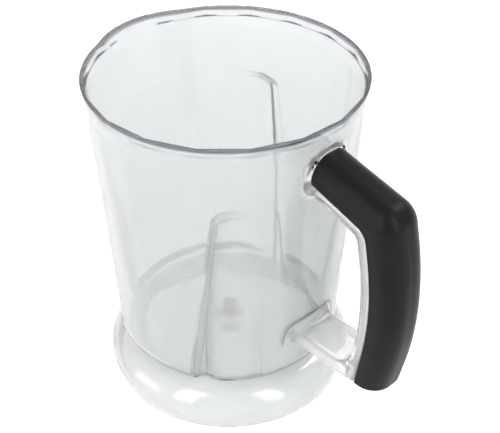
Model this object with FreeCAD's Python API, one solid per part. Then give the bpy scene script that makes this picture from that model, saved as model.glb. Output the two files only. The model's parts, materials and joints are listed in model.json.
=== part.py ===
"""Beaker of a kitchen blender: a clear moulded cup on a flared skirt, with a two-shell handle.

Millimetres. The origin is the centre of the ring that the beaker stands on, +Z is up along the
cup's axis, and the handle lies in the XZ plane on the +X side. The pouring lip is on the -X side.
"""
import FreeCAD, Part
import math
import os

from FreeCAD import Vector

os.makedirs("parts", exist_ok=True)

# Cup
height = 171.5
rim_radius = 67.0
rim_flare = 0.8
flare_drop = 10.0
taper = 0.0557
wall = 2.3
floor_top = 23.8
corner_radius = 14.0

# Faceted band inside the rim
band_height = 4.5
band_sides = 18
band_turn = 6.3
band_step = 0.12

# Pouring lip opposite the handle
lip_reach = 3.0
lip_radius = rim_radius - 22.0
lip_blend = 60.0
lip_drop = 36.0

# Skirt that the cup stands on, hollow from below
crease_radius = rim_radius - 19.0
skirt_radius = rim_radius - 3.0
skirt_widest_height = 8.0
foot_radius = skirt_radius - 1.6
foot_round = 0.7

# Flow breakers: pads where the wall spirals inwards and steps back out at a slanted riser
pad_azimuths = (-48.3, 28.3, 112.7, 227.3)
pad_span = 20.0
pad_depth = 3.6
pad_riser_width = 2.1
pad_slant = 0.13
pad_shoulder_drop = 41.7
pad_arch_drop = 53.0
pad_arch_radius = 16.0
pad_fade = -0.006
pad_overrun = 0.05

# Boss and steel pin in the middle of the floor
boss_radius = 8.5
boss_rise = 0.6
boss_drop = 9.0
pin_radius = 3.5
pin_rise = 7.6
pin_shank_radius = 2.8
pin_depth = 8.0
pin_chamfer = 0.6

# Handle: the seam between the clear core and the black cover, seen from the side
neck_drop = 23.6
elbow_out = 33.1
elbow_drop = 10.5
grip_out = 41.2
grip_share = 0.54
foot_out = 33.6
foot_height = 49.5
handle_width = 24.0
core_depth = 6.5
cover_depth_neck = 0.454 * handle_width
cover_depth_elbow = 0.596 * handle_width
cover_depth_grip = 0.65 * handle_width
cover_depth_foot = 0.542 * handle_width
elbow_radius_seam = 8.0
elbow_radius_inner = 5.0
elbow_radius_outer = 12.5
bow_share = 0.98
cover_gap = 1.6
cover_edge_radius = handle_width / 2.4
hollow_step = 4.6
core_edge_radius = 3.0
shell_wall = 2.4

# Lower arm between the cup and the foot of the handle, a channel that is open below
arm_depth = 7.0
arm_knee_radius = 11.0
arm_spare = 12.0
stub_spare = 4.0
arm_root_fillet = 6.0
neck_root_fillet = 4.4

top_reach = 5.0
seam_turn = 75.0
slope = math.atan(taper)


def polar(radius, azimuth, z=0.0):
    turn = math.radians(azimuth)
    return Vector(radius * math.cos(turn), radius * math.sin(turn), z)


def wall_radius(z, inset=0.0):
    """Radius of the cup's wall at a height, its surface moved inwards by inset."""
    return rim_radius - rim_flare - taper * (height - z) - inset / math.cos(slope)


def corner_centre():
    """The centre of the arc between the cup's floor and its wall, as radius and height."""
    z = floor_top - wall + corner_radius
    return wall_radius(0) + z * math.tan(slope) - corner_radius / math.cos(slope), z


def join(edges):
    return Part.Wire(edges)


def revolve(edges):
    """A side view turned about the cup's axis, its seam kept clear of the handle and the pads."""
    face = Part.Face(join(edges))
    face.rotate(Vector(0, 0, 0), Vector(0, 0, 1), seam_turn)
    return face.revolve(Vector(0, 0, 0), Vector(0, 0, 1), 360)


def side_point(point):
    """A point of a side view, as radius and height, in the XZ plane."""
    return Vector(point[0], 0, point[1])


def line(first, last):
    return Part.LineSegment(side_point(first), side_point(last)).toShape()


def bezier(*points):
    curve = Part.BezierCurve()
    curve.setPoles([side_point(p) for p in points])
    return curve.toShape()


def arc(first, middle, last):
    return Part.Arc(side_point(first), side_point(middle), side_point(last)).toShape()


def rounded_path(points, radii):
    """Straight runs through the points, with a tangent arc at each inner point that has a radius."""
    edges = []
    start = Vector(*points[0])
    for index in range(1, len(points) - 1):
        corner = Vector(*points[index])
        radius = radii[index]
        if radius <= 0:
            edges.append(Part.LineSegment(start, corner).toShape())
            start = corner
            continue
        back = (Vector(*points[index - 1]) - corner).normalize()
        ahead = (Vector(*points[index + 1]) - corner).normalize()
        half = back.getAngle(ahead) / 2
        reach = radius / math.tan(half)
        bisector = (back + ahead).normalize()
        centre = corner + bisector * (radius / math.sin(half))
        first = corner + back * reach
        last = corner + ahead * reach
        middle = centre - bisector * radius
        edges.append(Part.LineSegment(start, first).toShape())
        edges.append(Part.Arc(first, middle, last).toShape())
        start = last
    edges.append(Part.LineSegment(start, Vector(*points[-1])).toShape())
    return edges


def closed_outline(points, radii):
    """A closed outline through the points, of which the first is a sharp corner."""
    return join(rounded_path(list(points) + [points[0]], list(radii) + [0]))


def extrude_side(points, radii, width):
    """A side view in the XZ plane, given thickness across Y."""
    outline = closed_outline([(x, 0, z) for x, z in points], radii)
    face = Part.Face(outline)
    face.translate(Vector(0, -width / 2, 0))
    return face.extrude(Vector(0, width, 0))


def shifted(points, depths):
    """The corners of a line that runs beside another, at its own depth beside each corner."""
    moved = []
    for index, (x, z) in enumerate(points):
        normals = []
        for a, b in ((index - 1, index), (index, index + 1)):
            if a >= 0 and b < len(points):
                run = Vector(points[b][0] - points[a][0], points[b][1] - points[a][1], 0).normalize()
                normals.append(Vector(-run.y, run.x, 0))
        mitre = normals[0]
        if len(normals) == 2:
            mitre = (normals[0] + normals[1]).normalize()
        share = depths[index] / mitre.dot(normals[0])
        moved.append((x + mitre.x * share, z + mitre.y * share))
    return moved


# Cup body and its hollow


def lip_outline(radius, reach, z):
    """The cup's outline at a height: a circle that swells into a rounded lip on the -X side.

    The swelling is a smaller circle, joined to the large one by two hollow arcs.
    """
    shrink = rim_radius - radius
    small = lip_radius - shrink
    blend = lip_blend + shrink
    shift = rim_radius + (reach or lip_reach) - lip_radius
    to_blend = radius + blend
    cosine = (to_blend ** 2 + shift ** 2 - (small + blend) ** 2) / (2 * shift * to_blend)
    half = math.degrees(math.acos(cosine))
    main_end = polar(radius, 180 - half, z)
    main_start = polar(radius, 180 + half, z)
    if reach <= 0:
        third = half / 2
        return [
            Part.Arc(main_start, polar(radius, 0, z), main_end).toShape(),
            Part.Arc(main_end, polar(radius, 180 - half + third / 2, z), polar(radius, 180 - third, z)).toShape(),
            Part.Arc(polar(radius, 180 - third, z), polar(radius, 180, z), polar(radius, 180 + third, z)).toShape(),
            Part.Arc(polar(radius, 180 + third, z), polar(radius, 180 + half - third / 2, z), main_start).toShape(),
        ]
    lip_centre = Vector(-shift, 0, z)
    hub = polar(to_blend, 180 - half, z)
    towards_lip = (lip_centre - hub).normalize()
    towards_axis = (Vector(0, 0, z) - hub).normalize()
    upper = hub + towards_lip * blend
    upper_middle = hub + (towards_lip + towards_axis).normalize() * blend
    lower = Vector(upper.x, -upper.y, z)
    lower_middle = Vector(upper_middle.x, -upper_middle.y, z)
    tip = Vector(-shift - small, 0, z)
    return [
        Part.Arc(main_start, polar(radius, 0, z), main_end).toShape(),
        Part.Arc(main_end, upper_middle, upper).toShape(),
        Part.Arc(upper, tip, lower).toShape(),
        Part.Arc(lower, lower_middle, main_start).toShape(),
    ]


def lower_side(inset, straight):
    """Side view of the cup's surface below the lip, with its corner or with the wall run straight down."""
    lip_start = height - lip_drop
    wall_top = (wall_radius(lip_start, inset), lip_start)
    if straight:
        return [line((0, 0), (wall_radius(0, inset), 0)), line((wall_radius(0, inset), 0), wall_top)], 0
    radius = corner_radius - inset
    bottom = floor_top - wall + inset
    centre_r, centre_z = corner_centre()
    tangent = (centre_r + radius * math.cos(slope), centre_z - radius * math.sin(slope))
    halfway = math.radians(45) + slope / 2
    middle = (centre_r + radius * math.sin(halfway), centre_z - radius * math.cos(halfway))
    return [
        line((0, bottom), (centre_r, bottom)),
        arc((centre_r, bottom), middle, tangent),
        line(tangent, wall_top),
    ], bottom


def cup_form(inset, top, straight=False):
    """The solid inside the cup's surface moved inwards by inset, up to the height top."""
    lip_start = height - lip_drop
    side, bottom = lower_side(inset, straight)
    lower = revolve(side + [
        line((wall_radius(lip_start, inset), lip_start), (0, lip_start)),
        line((0, lip_start), (0, bottom)),
    ])
    flare_start = height - flare_drop
    flare = rim_flare * (top - flare_start) / flare_drop
    reach = lip_reach * (flare_start - lip_start) / lip_drop
    start = join(lip_outline(wall_radius(lip_start, inset), 0, lip_start))
    middle = join(lip_outline(wall_radius(flare_start, inset), reach, flare_start))
    end = join(lip_outline(wall_radius(top, inset) + flare, lip_reach, top))
    return lower.fuse([Part.makeLoft([start, middle], True, True), Part.makeLoft([middle, end], True, True)])


def pad_tool(azimuth, grow):
    """What a flow-breaker pad takes off the cup's surface, or with grow off the surface inside it."""
    shoulder = height - pad_shoulder_drop
    low = shoulder / 2
    end = azimuth + pad_span
    outer_radius = wall_radius(shoulder)
    top_edge = polar(outer_radius, azimuth, shoulder)
    low_edge = polar(wall_radius(low), azimuth - pad_slant * (shoulder - low), low)
    run = math.degrees(pad_riser_width / outer_radius)
    inward = (polar(outer_radius - pad_depth, azimuth + run, shoulder) - top_edge).normalize()
    along = (low_edge - top_edge).normalize()
    normal = inward.cross(along).normalize()
    if normal.dot(polar(1, azimuth - 90)) < 0:
        normal = normal * -1

    def section(z):
        share = (shoulder - z) / (shoulder - low)
        edge = top_edge + (low_edge - top_edge) * share
        edge = edge + normal * (grow / normal.dot(polar(1, azimuth - 90)))
        edge.z = z
        near_in = edge + inward * 8
        near_out = edge - inward * 15
        far_out = polar(rim_radius + 15, end + 1, z)
        far_in = polar(wall_radius(low) - 15, end + 1, z)
        return Part.makePolygon([near_in, near_out, far_out, far_in, near_in])

    wedge = Part.makeLoft([section(floor_top - wall - 1), section(height)], True, True)

    spiral_radius = 1 / (1 / outer_radius + 2 * pad_depth / math.radians(pad_span) ** 2 / outer_radius ** 2)
    shift = outer_radius - spiral_radius
    core = Part.makeCone(
        wall_radius(0, grow) - shift + pad_overrun + pad_fade * shoulder,
        wall_radius(height, grow) - shift + pad_overrun - pad_fade * pad_shoulder_drop,
        height,
    )
    core.translate(polar(shift, end))

    middle = azimuth + pad_span / 2
    arch_centre = height - pad_arch_drop
    arch_radius = pad_arch_radius + grow
    across = polar(1, middle + 90)
    foot = floor_top - wall - 2
    base = polar(wall_radius(low) - 20, middle)

    def spot(t, z):
        return base + across * t + Vector(0, 0, z)

    outline = join([
        Part.LineSegment(spot(arch_radius, foot), spot(arch_radius, arch_centre)).toShape(),
        Part.Arc(
            spot(arch_radius, arch_centre),
            spot(0, arch_centre + arch_radius),
            spot(-arch_radius, arch_centre),
        ).toShape(),
        Part.LineSegment(spot(-arch_radius, arch_centre), spot(-arch_radius * 3, foot)).toShape(),
        Part.LineSegment(spot(-arch_radius * 3, foot), spot(arch_radius, foot)).toShape(),
    ])
    arch = Part.Face(outline).extrude(polar(45, middle))
    return wedge.common(arch).cut(core)


def cup_with_pads(inset, top):
    form = cup_form(inset, top)
    for azimuth in pad_azimuths:
        form = form.cut(pad_tool(azimuth, inset))
    return form


def rim_band():
    """The many-sided band inside the rim, which meets the round wall at small ledges."""
    wires = []
    for z in (height - band_height, height + top_reach):
        corner = (wall_radius(z, wall) + rim_flare + band_step) / math.cos(math.pi / band_sides)
        turns = [band_turn + 360.0 * i / band_sides for i in range(band_sides + 1)]
        wires.append(Part.makePolygon([polar(corner, turn, z) for turn in turns]))
    return Part.makeLoft(wires, True, True)


def skirt():
    centre_r, centre_z = corner_centre()
    crease_z = centre_z - math.sqrt(corner_radius ** 2 - (crease_radius - centre_r) ** 2)
    bottom = floor_top - wall
    bend = 0.5523

    def shoulder(inset, reverse):
        top = crease_z - inset
        out = skirt_radius - inset
        rise = top - skirt_widest_height
        run = out - crease_radius
        poles = [
            (crease_radius, top),
            (crease_radius + run * bend, top),
            (out, skirt_widest_height + rise * bend),
            (out, skirt_widest_height),
        ]
        if reverse:
            poles.reverse()
        return bezier(*poles)

    def side(inset, reverse):
        out = skirt_radius - inset
        foot = foot_radius - inset
        low = 0 if inset else foot_round
        poles = [
            (out, skirt_widest_height),
            (out, skirt_widest_height * 0.6),
            (foot + (out - foot) * 0.4, skirt_widest_height * 0.25 + low),
            (foot, low),
        ]
        if reverse:
            poles.reverse()
        return bezier(*poles)

    inner_r = centre_r + 0.5
    return revolve([
        line((inner_r, crease_z), (crease_radius, crease_z)),
        shoulder(0, False),
        side(0, False),
        arc(
            (foot_radius, foot_round),
            (foot_radius - foot_round * 0.293, foot_round * 0.293),
            (foot_radius - foot_round, 0),
        ),
        line((foot_radius - foot_round, 0), (foot_radius - wall, 0)),
        side(wall, True),
        shoulder(wall, True),
        line((crease_radius, crease_z - wall), (inner_r, bottom)),
        line((inner_r, bottom), (inner_r, crease_z)),
    ])


def floor_boss():
    top = floor_top + boss_rise
    boss = Part.makeCylinder(boss_radius, top - (floor_top - wall), Vector(0, 0, floor_top - wall))
    root = Part.makeCone(pin_radius + wall, boss_radius, boss_drop, Vector(0, 0, floor_top - wall - boss_drop))
    socket = Part.makeCylinder(pin_shank_radius, pin_depth, Vector(0, 0, top - pin_depth))
    return boss.fuse(root), socket


def centre_pin():
    top = floor_top + boss_rise
    pin = Part.makeCylinder(pin_radius, pin_rise, Vector(0, 0, top))
    pin = pin.makeChamfer(pin_chamfer, [e for e in pin.Edges if e.BoundBox.ZMin > top + 1])
    shank = Part.makeCylinder(pin_shank_radius, pin_depth, Vector(0, 0, top - pin_depth))
    return pin.fuse(shank)


# Handle

neck_z = height - neck_drop
neck_r = wall_radius(neck_z)
elbow = (neck_r + elbow_out, neck_z - elbow_drop)
grip_height = foot_height + grip_share * (elbow[1] - foot_height)
grip = (neck_r + grip_out, grip_height)
foot = (neck_r + foot_out, foot_height)
cover_start = neck_r + cover_gap
core_start = neck_r - 2 * wall
cover_depths = (cover_depth_neck, cover_depth_elbow, cover_depth_grip, cover_depth_foot)


def bow_radius():
    """The radius at which the seam bows at the grip, its arc clear of those of the elbow and the knee."""
    up = side_point(elbow) - side_point(grip)
    down = side_point(foot) - side_point(grip)
    room = min(up.Length - elbow_radius_outer, down.Length - arm_depth - arm_knee_radius)
    return bow_share * room * math.tan(up.getAngle(down) / 2)


grip_radius = bow_radius()


def beside_seam(depths, start, end):
    """A line beside the seam from the radius start to the height end, at its own depth at each corner."""
    line_points = shifted([(neck_r, neck_z), elbow, grip, foot], depths)
    (x0, z0), (x1, z1) = line_points[:2]
    line_points[0] = (start, z0 + (z1 - z0) * (start - x0) / (x1 - x0))
    (x2, z2), (x3, z3) = line_points[2:]
    line_points[3] = (x2 + (x3 - x2) * (end - z2) / (z3 - z2), end)
    return line_points


def long_edges(solid, line_points, reach):
    """The long edges that follow a side-view line on both sides of the handle."""
    found = []
    for edge in solid.Edges:
        if edge.BoundBox.YLength > 0.01:
            continue
        middle = edge.valueAt((edge.FirstParameter + edge.LastParameter) / 2)
        gaps = [
            middle.distanceToLineSegment(Vector(a[0], middle.y, a[1]), Vector(b[0], middle.y, b[1])).Length
            for a, b in zip(line_points, line_points[1:])
        ]
        if min(gaps) < reach:
            found.append(edge)
    return found


def cover_form(start, low, inner_depth, inset, width):
    """A side view of the cover from the seam, or a depth behind it, out to its back less an inset."""
    inner = beside_seam([-inner_depth] * 4, start, low)
    outer = beside_seam([depth - inset for depth in cover_depths], start, low)
    bow_in = grip_radius - inner_depth
    bow_out = grip_radius + cover_depth_grip - inset
    elbow_out_radius = max(elbow_radius_outer - inset, elbow_radius_seam)
    radii = [0, elbow_radius_seam, bow_in, 0, 0, bow_out, elbow_out_radius, 0]
    return extrude_side(inner + outer[::-1], radii, width), outer


def handle_cover():
    """The black cover: a shell that is open towards the core and the neck, stepped inside."""
    block, back = cover_form(cover_start, foot_height, 0, 0, handle_width)
    block = block.makeFillet(cover_edge_radius, long_edges(block, back, 4))
    behind = cover_start - 1
    low = foot_height + shell_wall
    wide, _ = cover_form(behind, low, core_depth, shell_wall + hollow_step, handle_width - 2 * shell_wall)
    deep, _ = cover_form(behind, low, core_depth, shell_wall, handle_width - 2 * (shell_wall + hollow_step))
    return block.cut(wide).cut(deep)


def core_block():
    """The clear core, its neck and the lower arm in one bent strip, its neck and foot left too long."""
    low = foot_height - arm_spare
    stub_end = cover_start + stub_spare
    inner = beside_seam([-core_depth] * 4, core_start, foot_height)
    outer = beside_seam([0] * 4, stub_end, low)
    stub_top = [beside_seam(cover_depths, start, low)[0] for start in (stub_end, core_start)]
    top = foot_height + arm_depth
    root = wall_radius(low) - wall
    knee = beside_seam([-core_depth] * 4, core_start, top)[3]
    follow = inner[:3] + [knee, (root, top)]
    points = follow + [(root, low)] + outer[::-1] + stub_top
    bow = grip_radius - core_depth
    radii = [0, elbow_radius_inner, bow, arm_knee_radius, 0, 0, 0, grip_radius, elbow_radius_seam, 0, 0, 0]
    block = extrude_side(points, radii, handle_width)
    block = block.makeFillet(cover_edge_radius, long_edges(block, stub_top, 1))
    return block.makeFillet(core_edge_radius, long_edges(block, follow, core_depth - 1))


def stub_trim():
    """The piece of the neck that is left too long, which the cover takes the place of."""
    low = foot_height
    start = beside_seam([0] * 4, cover_start, low)[0]
    end = beside_seam([0] * 4, cover_start + 2 * stub_spare, low)[0]
    return extrude_side([start, end, (end[0], height), (start[0], height)], [0] * 4, 2 * handle_width)


def core_hollow():
    """The hollow of the core under the cover, and the channel under the arm."""
    low = foot_height + shell_wall
    inner = beside_seam([shell_wall - core_depth] * 4, cover_start, low)
    outer = beside_seam([core_depth] * 4, cover_start, low)
    bow = grip_radius - core_depth + shell_wall
    radii = [0, elbow_radius_inner, bow, 0, 0, grip_radius + core_depth, elbow_radius_seam, 0]
    width = handle_width - 2 * shell_wall
    hollow = extrude_side(inner + outer[::-1], radii, width)
    root = wall_radius(foot_height) - wall
    ceiling = foot_height + arm_depth - shell_wall
    end = inner[3][0] - shell_wall
    channel = extrude_side(
        [(root, foot_height - 1), (end, foot_height - 1), (end, ceiling), (root, ceiling)], [0] * 4, width
    )
    return hollow.fuse(channel)


def root_edges(solid, low, high):
    """The edges between two heights where the handle meets the cup's wall."""
    found = []
    for edge in solid.Edges:
        ends = [edge.valueAt(t) for t in (edge.FirstParameter, edge.LastParameter)]
        middle = edge.valueAt((edge.FirstParameter + edge.LastParameter) / 2)
        spots = ends + [middle]
        on_wall = all(abs(math.hypot(p.x, p.y) - wall_radius(p.z)) < 0.02 for p in spots)
        near = all(abs(p.y) < handle_width / 2 + 0.1 and p.x > 0 for p in spots)
        if on_wall and near and edge.BoundBox.ZMin > low and edge.BoundBox.ZMax < high:
            found.append(edge)
    return found


def cup_and_handle():
    """The cup's outer form with the clear parts of the handle flowing into its wall."""
    body = cup_form(0, height, True).fuse(core_block())
    body = body.makeFillet(neck_root_fillet, root_edges(body, grip_height, height))
    low = foot_height - arm_spare
    sides = [e for e in root_edges(body, low - 1, grip_height) if e.BoundBox.ZMax > low + 1]
    body = body.makeFillet(arm_root_fillet, sides)
    span = 4 * rim_radius
    above = Part.makeBox(span, span, span, Vector(-span / 2, -span / 2, foot_height))
    below = Part.makeBox(span, span, span, Vector(-span / 2, -span / 2, foot_height - span))
    return body.common(above).fuse(cup_form(0, height).common(below)).cut(stub_trim()).removeSplitter()


def beaker():
    body = cup_and_handle()
    for azimuth in pad_azimuths:
        body = body.cut(pad_tool(azimuth, 0))
    body = body.cut(core_hollow())
    body = body.cut(cup_with_pads(wall, height + top_reach))
    body = body.cut(rim_band())
    boss, socket = floor_boss()
    return body.fuse([skirt(), boss]).cut(socket).removeSplitter()


if __name__ == "__main__":
    nodes = {
        "beaker": beaker(),
        "handle_cover": handle_cover(),
        "centre_pin": centre_pin(),
    }
    for name, shape in nodes.items():
        shape.exportStep("parts/" + name + ".step")
        print(name, shape.ShapeType, len(shape.Solids), "valid", shape.isValid(), "volume", round(shape.Volume))
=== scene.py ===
"""Beaker of a kitchen blender: a clear moulded cup with a black-covered handle and a steel pin.

Everything is in metres, in the beaker's own frame: the origin is the centre of the ring that it
stands on, +Z is up, and the handle is on the +X side.
"""
import json
import math
from functools import reduce

import bpy
from mathutils import Matrix, Vector

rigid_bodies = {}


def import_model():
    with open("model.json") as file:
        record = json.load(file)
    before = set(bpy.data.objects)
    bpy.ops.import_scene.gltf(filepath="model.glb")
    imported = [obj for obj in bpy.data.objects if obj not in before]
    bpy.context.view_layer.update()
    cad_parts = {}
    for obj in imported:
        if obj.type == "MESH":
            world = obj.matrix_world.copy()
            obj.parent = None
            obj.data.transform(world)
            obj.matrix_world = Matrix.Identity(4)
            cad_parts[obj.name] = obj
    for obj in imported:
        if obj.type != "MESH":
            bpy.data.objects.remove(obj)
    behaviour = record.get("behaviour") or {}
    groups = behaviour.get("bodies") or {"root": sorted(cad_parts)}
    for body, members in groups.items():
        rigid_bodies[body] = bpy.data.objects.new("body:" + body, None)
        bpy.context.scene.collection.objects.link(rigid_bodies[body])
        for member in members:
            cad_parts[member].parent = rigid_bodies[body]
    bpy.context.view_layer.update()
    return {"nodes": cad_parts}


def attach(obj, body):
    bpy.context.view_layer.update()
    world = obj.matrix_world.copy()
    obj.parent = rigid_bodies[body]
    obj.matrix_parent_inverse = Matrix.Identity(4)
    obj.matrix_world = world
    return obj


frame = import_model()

MM = 0.001
WHITE = (1.0, 1.0, 1.0, 1.0)

# The clear plastic: its colour in the wall, in the arm and boss, which are lighter as painted
# light, and in the darkest lines, which are painted shade; and the share of light that it lets
# through
WALL_TINT = (0.86, 0.872, 0.875)
PAINTED_LIGHT_TINT = (0.95, 0.957, 0.958)
EDGE_SHADE_TINT = (0.22, 0.22, 0.25)
WALL_TINT_STEP = 0.2
WALL_CLEARNESS = 0.71
RIM_CLEARNESS = 0.97
NECK_CLEARNESS = 0.88
# Less light passes through the painted shade lines, so that they read darker
EDGE_SHADE_HAZE = 0.35
# The boss lets less light through, so that it reads whiter, as a painted highlight
BOSS_LIGHTENING_HAZE = 0.5

# The pads in the wall, along whose edges a dark line of shade is painted. The azimuths and the span
# are in degrees, and the slant is in degrees for each millimetre of height
PAD_AZIMUTHS = (-48.3, 28.3, 112.7, -132.7)
PAD_SPAN = 20.0
PAD_SLANT = 0.13
PAD_SHOULDER = 129.8 * MM
PAD_ARCH_CENTRE = 118.5 * MM
PAD_ARCH_RADIUS = 16.0 * MM
# How strongly the painted shade lines of the pads darken the wall
PAD_SHADE_DEPTH = 0.6

# The rounded corner under the cup, with the radius and height of its centre, and the height at
# which it meets the skirt
CORNER_CENTRE = (44.6 * MM, 35.5 * MM)
CORNER_RADIUS = 14.0 * MM
CREASE_HEIGHT = 26.3 * MM

# The small ledges of the band inside the rim
LEDGE_HEIGHT = 167.0 * MM
LEDGE_RADIUS = 65.3 * MM

# The handle's two roots on the cup, an oval neck above and a rounded oblong at the lower arm
ROOT_HALF_WIDTH = 17.0 * MM
NECK_HEIGHT = 149.5 * MM
NECK_HALF_HEIGHT = 15.0 * MM
ARM_HEIGHT = 45.0 * MM
ARM_HALF_HEIGHT = 16.5 * MM
ARM_SQUARENESS = 4.0
# How strongly the painted shade line at the arm's root darkens the wall
ARM_ROOT_SHADE_DEPTH = 0.85

# The catches on one flank of the collar: place and half-depth, both in millimetres
CATCHES = (((65.95, 8.75, 156.8), 1.1), ((65.65, 10.2, 155.1), 0.7))
CATCH_STRETCH = 1.2

# Stage
FLOOR_SIZE = 12.0
FLOOR_DROP = 0.2 * MM
WINDOW_SIZE = (0.36, 1.1)
WINDOW_POWER = 5.4
WINDOW_AIM = (0, 0, 0.02)

# Camera, in the beaker's frame: it stands on the far side of the handle from the lip
PHOTO_WIDTH = 500
CAMERA_AZIMUTH = -44.0
CAMERA_PITCH = 37.09
CAMERA_DISTANCE = 609.4 * MM
CAMERA_RIGHT = 11.2 * MM
CAMERA_UP = 69.75 * MM
FOCAL_PIXELS = 1100.0


class Graph:
    """Short names for making and joining the shader nodes of a material or a world.

    A value is a constant or a (node, output) pair, and a mask is a value from 0 to 1.
    """

    def __init__(self, owner):
        owner.use_nodes = True
        self.tree = owner.node_tree

    def feed(self, target, values):
        """Sets each named socket to its constant, or joins it to its (node, output) pair."""
        for name, value in values.items():
            if isinstance(value, tuple) and isinstance(value[0], bpy.types.Node):
                self.tree.links.new(value[0].outputs[value[1]], target.inputs[name])
            else:
                target.inputs[name].default_value = value

    def node(self, kind, values=None, **settings):
        made = self.tree.nodes.new(kind)
        for name, value in settings.items():
            setattr(made, name, value)
        self.feed(made, values or {})
        return made

    def calc(self, operation, first, second=0.0):
        return self.node("ShaderNodeMath", {0: first, 1: second}, operation=operation), "Value"

    def minus(self, first, second):
        return self.calc("SUBTRACT", first, second)

    def product(self, *values):
        return reduce(lambda first, second: self.calc("MULTIPLY", first, second), values)

    def largest(self, *values):
        return reduce(lambda first, second: self.calc("MAXIMUM", first, second), values)

    def length(self, across, up):
        squares = self.calc("ADD", self.product(across, across), self.product(up, up))
        return self.calc("SQRT", squares)

    def fade(self, value, low, high, first=0.0, last=1.0):
        """Runs smoothly from first to last while value runs from low to high."""
        limits = {"From Min": low, "From Max": high, "To Min": first, "To Max": last}
        made = self.node("ShaderNodeMapRange", {"Value": value, **limits},
                         interpolation_type="SMOOTHSTEP")
        return made, "Result"

    def blend(self, mask, first, last):
        return self.fade(mask, 0.0, 1.0, first, last)

    def near(self, value, middle, solid, soft):
        """1 within solid of the middle, fading to 0 at soft."""
        gap = self.calc("ABSOLUTE", self.minus(value, middle))
        return self.fade(gap, solid, soft, 1.0, 0.0)

    def place(self):
        """The x, y, z and radius of the shaded point, in the beaker's frame."""
        coordinates = self.node("ShaderNodeTexCoord")
        split = self.node("ShaderNodeSeparateXYZ", {"Vector": (coordinates, "Object")})
        x, y, z = ((split, axis) for axis in "XYZ")
        return x, y, z, self.length(x, y)

    def noise(self, scale, detail, roughness=0.5, stretch=(1.0, 1.0, 1.0)):
        coordinates = self.node("ShaderNodeTexCoord")
        mapping = self.node("ShaderNodeMapping", {
            "Vector": (coordinates, "Object"),
            "Scale": stretch,
        })
        made = self.node("ShaderNodeTexNoise", {
            "Vector": (mapping, "Vector"),
            "Scale": scale,
            "Detail": detail,
            "Roughness": roughness,
        })
        return made, "Fac"

    def bump(self, height, strength, distance):
        made = self.node("ShaderNodeBump", {
            "Height": height,
            "Strength": strength,
            "Distance": distance,
        })
        return made, "Normal"

    def ramp(self, value, stops):
        """The colour at value, from stops of a position and a grey or a colour."""
        made = self.node("ShaderNodeValToRGB", {"Fac": value})
        elements = made.color_ramp.elements
        while len(elements) < len(stops):
            elements.new(0.5)
        for element, (position, tone) in zip(elements, stops):
            element.position = position
            colour = tone if isinstance(tone, tuple) else (tone, tone, tone)
            element.color = (*colour, 1.0)
        return made, "Color"


# Materials


def new_material(name, values):
    """A material, its graph, and its Principled surface with the given constants."""
    material = bpy.data.materials.new(name)
    graph = Graph(material)
    surface = material.node_tree.nodes["Principled BSDF"]
    graph.feed(surface, values)
    return material, graph, surface


def crease_shade_line(graph, radius, z):
    """The painted shade line where the rounded corner under the cup meets the skirt."""
    corner = graph.length(
        graph.minus(radius, CORNER_CENTRE[0]),
        graph.minus(z, CORNER_CENTRE[1]),
    )
    return graph.product(
        graph.near(corner, CORNER_RADIUS, 0.5 * MM, 0.9 * MM),
        graph.near(z, CREASE_HEIGHT, 1.2 * MM, 2.0 * MM),
    )


def ledge_shade_lines(graph, radius, z):
    """The short painted shade lines of the ledges inside the rim."""
    return graph.product(
        graph.near(z, LEDGE_HEIGHT, 0.3 * MM, 0.6 * MM),
        graph.near(radius, LEDGE_RADIUS, 0.4 * MM, 0.55 * MM),
    )


def pad_shade_lines(graph, x, y, z):
    """Painted shade lines along the slanted riser at one side of each pad, and along the arch at
    the pad's top.
    """
    azimuth = graph.product(graph.calc("ARCTAN2", y, x), 180.0 / math.pi)
    lean = graph.product(graph.minus(z, PAD_SHOULDER), PAD_SLANT / MM)
    rise = graph.minus(z, PAD_ARCH_CENTRE)
    lines = 0.0
    for start in PAD_AZIMUTHS:
        along = graph.minus(graph.minus(azimuth, start), lean)
        riser = graph.product(
            graph.near(along, 0.0, 0.12, 0.3),
            graph.fade(z, PAD_SHOULDER, PAD_SHOULDER + 1.0 * MM, 0.5, 0.0),
        )
        turn = math.radians(start + PAD_SPAN / 2)
        side = graph.minus(
            graph.product(y, math.cos(turn)),
            graph.product(x, math.sin(turn)),
        )
        arch = graph.product(
            graph.near(graph.length(side, rise), PAD_ARCH_RADIUS, 0.12 * MM, 0.3 * MM),
            graph.fade(rise, 0.0, 4.0 * MM),
            graph.fade(along, 0.0, 0.6),
            graph.fade(along, 7.0, 16.0, 1.0, 0.0),
        )
        lines = graph.largest(lines, riser, arch)
    above_corner = graph.fade(z, 30.0 * MM, 38.0 * MM)
    return graph.product(lines, above_corner, PAD_SHADE_DEPTH)


def arm_root_shade_line(graph, x, y, z):
    """A painted shade line along the upper half of the rounded oblong where the lower arm meets the
    cup.
    """
    parts = (
        graph.calc("DIVIDE", y, ROOT_HALF_WIDTH),
        graph.calc("DIVIDE", graph.minus(z, ARM_HEIGHT), ARM_HALF_HEIGHT),
    )
    powers = (graph.calc("POWER", graph.calc("ABSOLUTE", part), ARM_SQUARENESS) for part in parts)
    reach = graph.calc("POWER", graph.calc("ADD", *powers), 1.0 / ARM_SQUARENESS)
    return graph.product(
        graph.near(reach, 1.0, 0.015, 0.035),
        graph.fade(z, 46.0 * MM, 50.0 * MM),
        graph.fade(x, 50.0 * MM, 52.0 * MM),
        ARM_ROOT_SHADE_DEPTH,
    )


def neck_patch(graph, x, y, z):
    """The oval of the wall behind the neck of the handle."""
    reach = graph.length(
        graph.calc("DIVIDE", y, ROOT_HALF_WIDTH),
        graph.calc("DIVIDE", graph.minus(z, NECK_HEIGHT), NECK_HALF_HEIGHT),
    )
    return graph.product(
        graph.fade(reach, 0.85, 1.0, 1.0, 0.0),
        graph.fade(x, 57.0 * MM, 59.0 * MM),
    )


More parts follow.
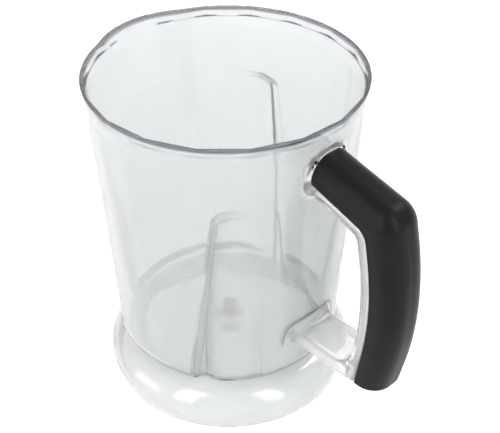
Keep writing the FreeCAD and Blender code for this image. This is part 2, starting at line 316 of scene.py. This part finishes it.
def clear_plastic():
    """Clear glossy plastic, with painted shade along its edges, creases and rim, where it is hazier
    and darker, and painted light on the arm and boss, which are lighter.
    """
    material, graph, surface = new_material("clear_plastic", {
        "Base Color": (*WALL_TINT, 1.0),
        "Roughness": 0.04,
        "IOR": 1.5,
        "Transmission Weight": WALL_CLEARNESS,
        "Specular IOR Level": 0.5,
    })
    waves = graph.noise(45.0, 2.0)

    x, y, z, radius = graph.place()
    # The rim band is painted dark, as painted shade of the dark line along the rim's edge, and it
    # lets more light through
    rim = graph.fade(z, 169.6 * MM, 170.4 * MM)
    neck = neck_patch(graph, x, y, z)
    # The arm is painted lighter, as painted light against the shade that its many walls would give
    arm = graph.product(
        graph.fade(x, 65.5 * MM, 67.5 * MM),
        graph.fade(z, 60.0 * MM, 64.0 * MM, 1.0, 0.0),
    )
    # The boss is painted lighter and hazier, as a painted highlight
    boss = graph.product(
        graph.fade(radius, 8.6 * MM, 9.0 * MM, 1.0, 0.0),
        graph.fade(z, 23.0 * MM, 23.6 * MM),
    )
    # Painted shade: dark lines along the corner, the ledges, the pads and the arm's root, where the
    # clear plastic looks dark at its edges
    moulded = graph.largest(
        crease_shade_line(graph, radius, z),
        ledge_shade_lines(graph, radius, z),
        pad_shade_lines(graph, x, y, z),
        arm_root_shade_line(graph, x, y, z),
    )

    clearness = graph.largest(
        graph.blend(rim, WALL_CLEARNESS, RIM_CLEARNESS),
        graph.blend(neck, WALL_CLEARNESS, NECK_CLEARNESS),
    )
    haze = graph.largest(
        graph.blend(moulded, 0.0, EDGE_SHADE_HAZE),
        graph.blend(boss, 0.0, BOSS_LIGHTENING_HAZE),
    )
    # Painted light: the arm and the boss take the lighter tint
    painted_light = graph.blend(graph.largest(arm, boss), 0.0, WALL_TINT_STEP)
    # The tint runs from the painted light of the arm and boss, through the wall, to the painted
    # shade of the lines and the rim
    depth = graph.calc("ADD", graph.minus(graph.largest(rim, moulded), painted_light), WALL_TINT_STEP)
    graph.feed(surface, {
        "Normal": graph.bump(waves, 0.02, 1.0 * MM),
        "Roughness": graph.ramp(waves, [(0.35, 0.02), (0.75, 0.06)]),
        "Transmission Weight": graph.minus(clearness, haze),
        "Base Color": graph.ramp(depth, [
            (0.0, PAINTED_LIGHT_TINT),
            (WALL_TINT_STEP, WALL_TINT),
            (1.0, EDGE_SHADE_TINT),
        ]),
    })
    return material


def black_plastic():
    """Satin black plastic with a fine grain."""
    material, graph, surface = new_material("black_plastic", {
        "Base Color": (0.006, 0.006, 0.006, 1.0),
        "Roughness": 0.38,
        "IOR": 1.45,
        "Specular IOR Level": 0.17,
    })
    grain = graph.noise(2600.0, 3.0, 0.6)
    cloud = graph.noise(60.0, 3.0, 0.55)
    graph.feed(surface, {
        "Normal": graph.bump(grain, 0.06, 0.2 * MM),
        "Roughness": graph.ramp(cloud, [(0.3, 0.34), (0.7, 0.42)]),
        "Base Color": graph.ramp(cloud, [(0.3, 0.004), (0.75, (0.007, 0.007, 0.0065))]),
    })
    return material


def turned_steel():
    """Steel with the fine rings of a lathe around its axis."""
    material, graph, surface = new_material("turned_steel", {
        "Base Color": (0.36, 0.34, 0.30, 1.0),
        "Metallic": 1.0,
        "Roughness": 0.28,
    })
    rings = graph.noise(90.0, 2.0, stretch=(1.0, 1.0, 60.0))
    graph.feed(surface, {
        "Normal": graph.bump(rings, 0.12, 0.1 * MM),
        "Roughness": graph.ramp(rings, [(0.3, 0.2), (0.7, 0.36)]),
    })
    return material


def finish(name, material):
    """Gives a node of the frame its finish."""
    for slot in frame["nodes"][name].material_slots:
        slot.link = "OBJECT"
        slot.material = material


# The small dark catches that show through the collar between the cup and the cover


def deselect():
    for obj in bpy.context.scene.objects:
        obj.select_set(False)


def collar_catches(material):
    """Two catches side by side on each flank of the collar, one flank the mirror of the other."""
    pieces = []
    for flank in (-1, 1):
        for (x, y, z), reach in CATCHES:
            deselect()
            centre = (x * MM, flank * y * MM, z * MM)
            bpy.ops.mesh.primitive_cube_add(size=1.0 * MM, location=centre)
            piece = bpy.context.object
            piece.scale = (reach, CATCH_STRETCH * reach, CATCH_STRETCH * reach)
            bpy.ops.object.transform_apply(location=True, rotation=True, scale=True)
            pieces.append(piece)
    deselect()
    for piece in pieces:
        piece.select_set(True)
    bpy.context.view_layer.objects.active = pieces[0]
    bpy.ops.object.join()
    catches = bpy.context.object
    catches.name = "collar_catches"
    bevel = catches.modifiers.new("bevel", "BEVEL")
    bevel.width = 0.15 * MM
    bevel.segments = 2
    bpy.ops.object.modifier_apply(modifier="bevel")
    catches.data.materials.append(material)
    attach(catches, "root")


# Stage


def seen_rays(graph):
    """1 for the rays by which the camera sees a thing straight, mirrored or through the plastic."""
    path = graph.node("ShaderNodeLightPath")
    rays = ("Is Camera Ray", "Is Glossy Ray", "Is Transmission Ray")
    return graph.largest(*((path, ray) for ray in rays))


def white_floor():
    """A floor that looks white, and whiter further out, but keeps the beaker's shadow."""
    bpy.ops.mesh.primitive_plane_add(size=FLOOR_SIZE, location=(0, 0, -FLOOR_DROP))
    floor = bpy.context.object
    floor.name = "floor"
    material = bpy.data.materials.new("white_floor")
    graph = Graph(material)
    graph.tree.nodes.clear()
    distance = graph.place()[3]
    glow = graph.node("ShaderNodeEmission", {
        "Color": WHITE,
        "Strength": graph.fade(distance, 0.25, 0.9, 0.6, 1.0),
    })
    paint = graph.node("ShaderNodeBsdfDiffuse", {"Color": (0.9, 0.9, 0.9, 1.0)})
    lit_paint = graph.node("ShaderNodeAddShader", {0: (glow, "Emission"), 1: (paint, "BSDF")})
    mix = graph.node("ShaderNodeMixShader", {
        "Fac": seen_rays(graph),
        1: (paint, "BSDF"),
        2: (lit_paint, "Shader"),
    })
    graph.node("ShaderNodeOutputMaterial", {"Surface": (mix, "Shader")})
    floor.data.materials.append(material)


def white_world():
    """A world that looks white, but lights the beaker only dimly."""
    world = bpy.context.scene.world or bpy.data.worlds.new("room")
    bpy.context.scene.world = world
    graph = Graph(world)
    graph.tree.nodes.clear()
    dim = graph.node("ShaderNodeBackground", {"Color": (0.95, 0.97, 1.0, 1.0), "Strength": 0.34})
    white = graph.node("ShaderNodeBackground", {"Color": WHITE, "Strength": 1.0})
    mix = graph.node("ShaderNodeMixShader", {
        "Fac": seen_rays(graph),
        1: (dim, "Background"),
        2: (white, "Background"),
    })
    graph.node("ShaderNodeOutputWorld", {"Surface": (mix, "Shader")})


def around(azimuth, elevation, distance):
    """The point at a distance from the origin, in the direction of two angles in degrees."""
    turn = math.radians(azimuth)
    rise = math.radians(elevation)
    flat = distance * math.cos(rise)
    return Vector((flat * math.cos(turn), flat * math.sin(turn), distance * math.sin(rise)))


def lamp(name, place, aim, size, power, colour=(1.0, 1.0, 1.0)):
    light = bpy.data.lights.new(name, "AREA")
    light.shape = "RECTANGLE"
    light.size, light.size_y = size
    light.energy = power
    light.color = colour
    obj = bpy.data.objects.new(name, light)
    bpy.context.scene.collection.objects.link(obj)
    obj.location = place
    obj.rotation_euler = (Vector(aim) - Vector(place)).to_track_quat("-Z", "Y").to_euler()


def photo_camera():
    """The photograph's view: its centre line looks down past the beaker's axis."""
    turn = math.radians(CAMERA_AZIMUTH)
    pitch = math.radians(CAMERA_PITCH)
    back = Vector((math.cos(turn), math.sin(turn), 0))
    right = Vector((-math.sin(turn), math.cos(turn), 0))
    up = Vector((0, 0, 1))
    view = -back * math.cos(pitch) - up * math.sin(pitch)
    view_up = -back * math.sin(pitch) + up * math.cos(pitch)
    place = -view * CAMERA_DISTANCE + right * CAMERA_RIGHT + view_up * CAMERA_UP
    data = bpy.data.cameras.new("photo_camera")
    data.sensor_fit = "HORIZONTAL"
    data.sensor_width = 36.0
    data.lens = FOCAL_PIXELS * data.sensor_width / PHOTO_WIDTH
    data.clip_start = 0.01
    data.clip_end = 30.0
    camera = bpy.data.objects.new("photo_camera", data)
    bpy.context.scene.collection.objects.link(camera)
    axes = Matrix((right, view_up, -view)).transposed().to_4x4()
    camera.matrix_world = Matrix.Translation(place) @ axes
    bpy.context.scene.camera = camera


finish("beaker", clear_plastic())
cover_plastic = black_plastic()
finish("handle_cover", cover_plastic)
finish("centre_pin", turned_steel())
collar_catches(cover_plastic)

white_floor()
white_world()
lamp("window_left", around(-84, 37, 1.2), WINDOW_AIM, WINDOW_SIZE, WINDOW_POWER)
lamp("window_right", around(-3, 37, 1.2), WINDOW_AIM, WINDOW_SIZE, WINDOW_POWER)
lamp("fill", around(150, 35, 1.3), (0, 0, 0.1), (0.8, 0.8), 1.0)
lamp("arm_light", around(-118, 10, 1.1), (0.08, 0, 0.14), (0.5, 0.7), 3.0, (1.0, 0.97, 0.92))
lamp("elbow_light", around(72, 50, 1.2), (0.1, 0, 0.14), (0.3, 0.3), 2.2)
photo_camera()
bpy.context.scene.view_settings.view_transform = "Standard"
